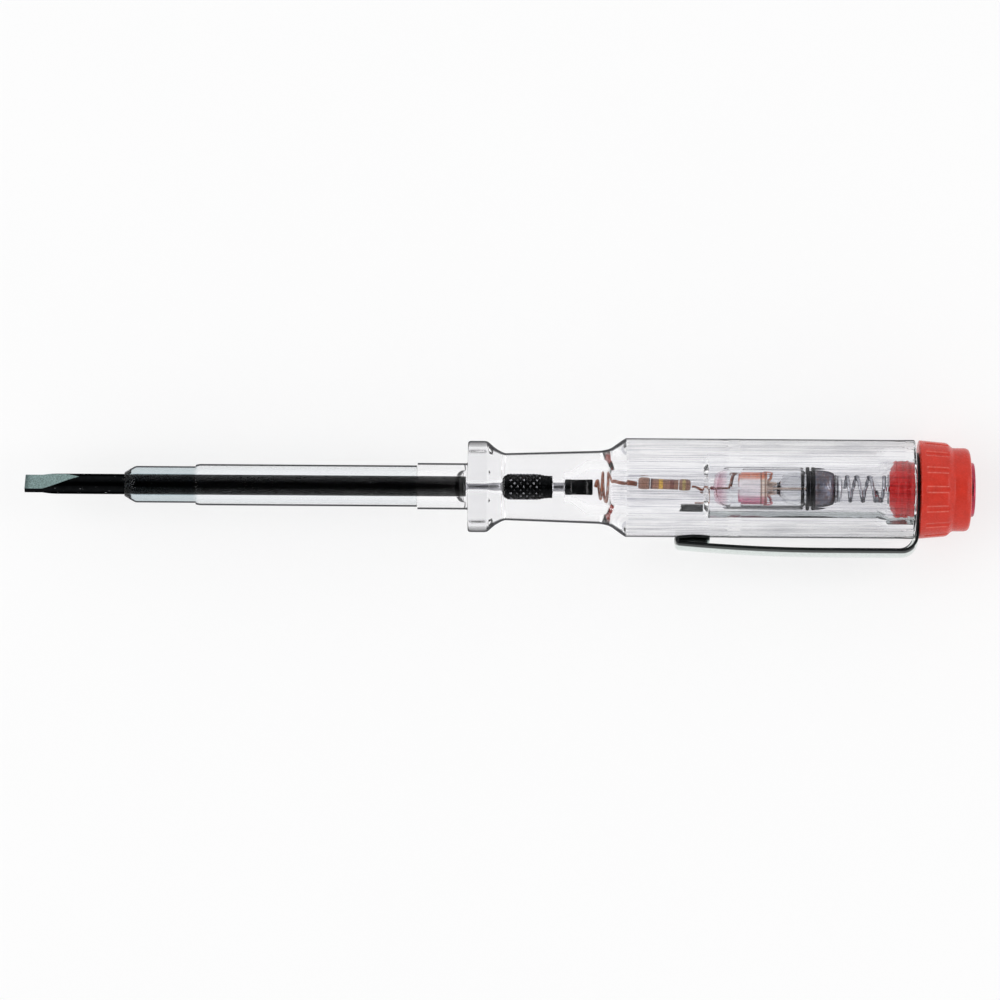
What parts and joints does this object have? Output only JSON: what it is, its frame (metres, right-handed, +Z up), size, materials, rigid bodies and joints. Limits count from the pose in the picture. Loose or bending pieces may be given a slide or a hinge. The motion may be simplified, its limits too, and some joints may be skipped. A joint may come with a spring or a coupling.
{
  "type": "voltage tester screwdriver",
  "caption": "Slim mains voltage tester with an insulated flat blade, a clear fluted handle over a neon lamp, a red screw cap with a touch disc, and a swivelling pocket clip.",
  "frame": {"origin": "centre of the blade tip's end face, on the tool's axis", "axes": "+X along the tool from the blade's tip to the cap, +Z up with the tool lying down, -Y towards the pocket clip"},
  "size_m": [0.1399, 0.0174, 0.0146],
  "materials": {
    "blade_steel": "polished dark steel, ground matt flats",
    "sleeve_plastic": "clear, smooth",
    "handle_plastic": "clear, polished",
    "resistor_lacquer": "brown lacquer with colour bands",
    "lead_wire": "drawn wire",
    "lamp_glass": "clear",
    "electrode_metal": "nickel",
    "lamp_shell": "dark, dull",
    "insulator_glass": "black glass",
    "solder": "dull tin",
    "spring_steel": "bright drawn wire",
    "touch_metal": "turned metal",
    "red_plastic": "red, satin",
    "clip_chrome": "bright plated sheet"
  },
  "bodies": {
    "handle": {"blade_shank": "blade_steel", "inner_sleeve": "sleeve_plastic", "outer_sleeve": "sleeve_plastic", "handle": "handle_plastic", "resistor_body": "resistor_lacquer", "resistor_front_cap": "resistor_lacquer", "resistor_rear_cap": "resistor_lacquer", "resistor_front_lead": "lead_wire", "resistor_rear_lead": "lead_wire", "lamp_lead": "lead_wire", "lamp_bulb": "lamp_glass", "lamp_stem": "lamp_glass", "ring_electrode": "electrode_metal", "pin_electrode": "electrode_metal", "lamp_cap": "lamp_shell", "lamp_insulator": "insulator_glass", "lamp_contact": "solder", "contact_spring": "spring_steel"},
    "contact": {"contact_washer": "spring_steel"},
    "cap": {"end_cap": "red_plastic", "touch_rivet": "touch_metal"},
    "clip": {"pocket_clip": "clip_chrome"}
  },
  "joints": [
    {"name": "clip_swivel", "type": "hinge", "parent": "handle", "child": "clip", "pos_m": [0.1314, 0, 0], "axis": [1, 0, 0], "continuous": true},
    {"name": "cap_travel", "type": "slide", "parent": "handle", "child": "contact", "axis": [1, 0, 0], "range_m": [0, 0.004], "deforming": ["contact_spring"]},
    {"name": "cap_turn", "type": "hinge", "parent": "contact", "child": "cap", "pos_m": [0.1314, 0, 0], "axis": [1, 0, 0], "range_deg": [0, 1440]}
  ],
  "couplings": [
    {"joint": "cap_turn", "follows": "cap_travel", "rad_per_m": 6283.2}
  ]
}
